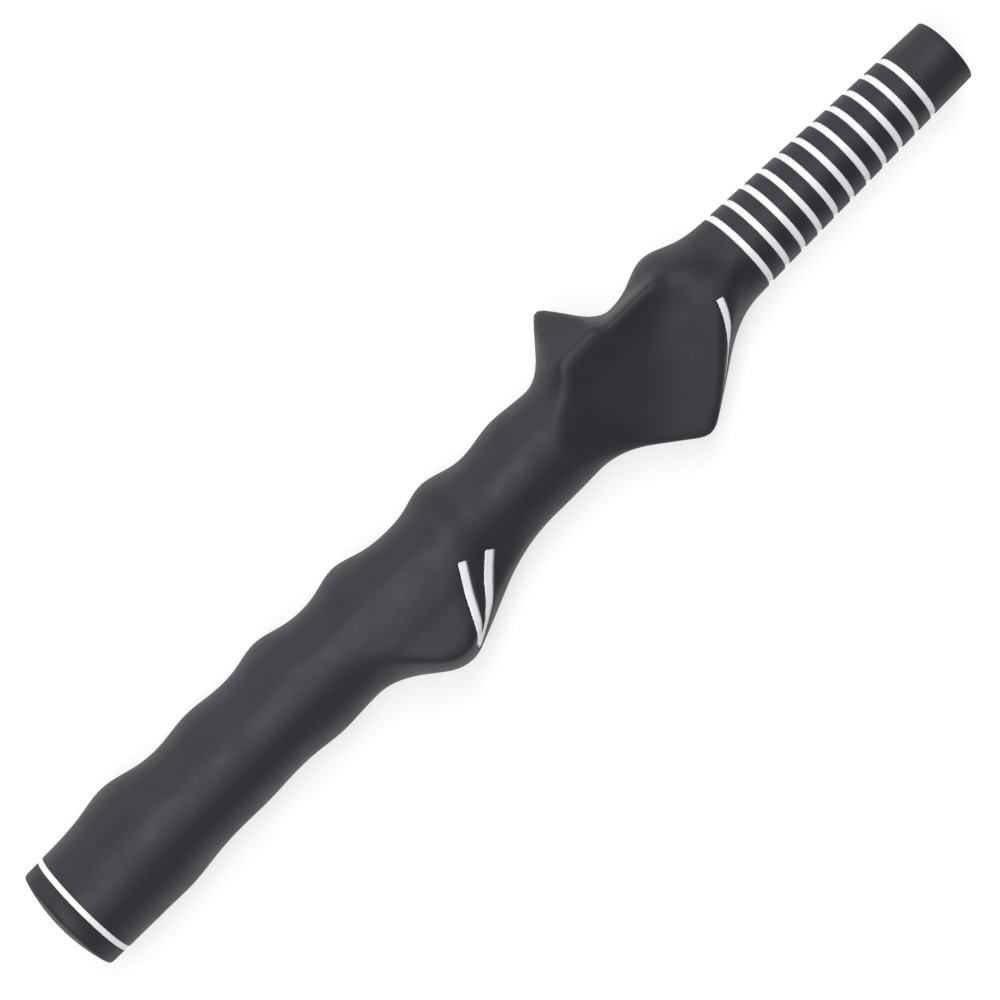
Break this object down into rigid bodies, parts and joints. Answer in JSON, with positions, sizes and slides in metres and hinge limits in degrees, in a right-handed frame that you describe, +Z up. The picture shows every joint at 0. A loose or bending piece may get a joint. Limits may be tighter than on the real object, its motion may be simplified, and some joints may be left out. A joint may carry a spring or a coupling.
{
  "type": "golf training grip",
  "caption": "Black moulded-rubber golf training grip, right-handed: finger ridges, thumb flares, trigger hook, white ring and V marks, tapered bore for a club shaft.",
  "frame": {"origin": "centre of the bounding box, on the lowest points that the grip lies on", "axes": "+X along the bore from the butt to the mouth, +Y towards the side that the fingertips hold, +Z up from the table, towards the side with the right thumb's pad"},
  "size_m": [0.2692, 0.0452, 0.0286],
  "materials": {
    "sleeve_rubber": "matte moulded",
    "cap_rubber": "satin moulded",
    "white_enamel": "satin paint fill"
  },
  "bodies": {
    "root": {"grip_sleeve": "sleeve_rubber", "butt_cap": "cap_rubber", "butt_ring_mark": "white_enamel", "ring_mark_01": "white_enamel", "ring_mark_02": "white_enamel", "ring_mark_03": "white_enamel", "ring_mark_04": "white_enamel", "ring_mark_05": "white_enamel", "ring_mark_06": "white_enamel", "ring_mark_07": "white_enamel", "ring_mark_08": "white_enamel", "ring_mark_09": "white_enamel", "ring_mark_10": "white_enamel", "ring_mark_11": "white_enamel", "left_v_mark": "white_enamel", "right_v_mark": "white_enamel"}
  },
  "joints": []
}
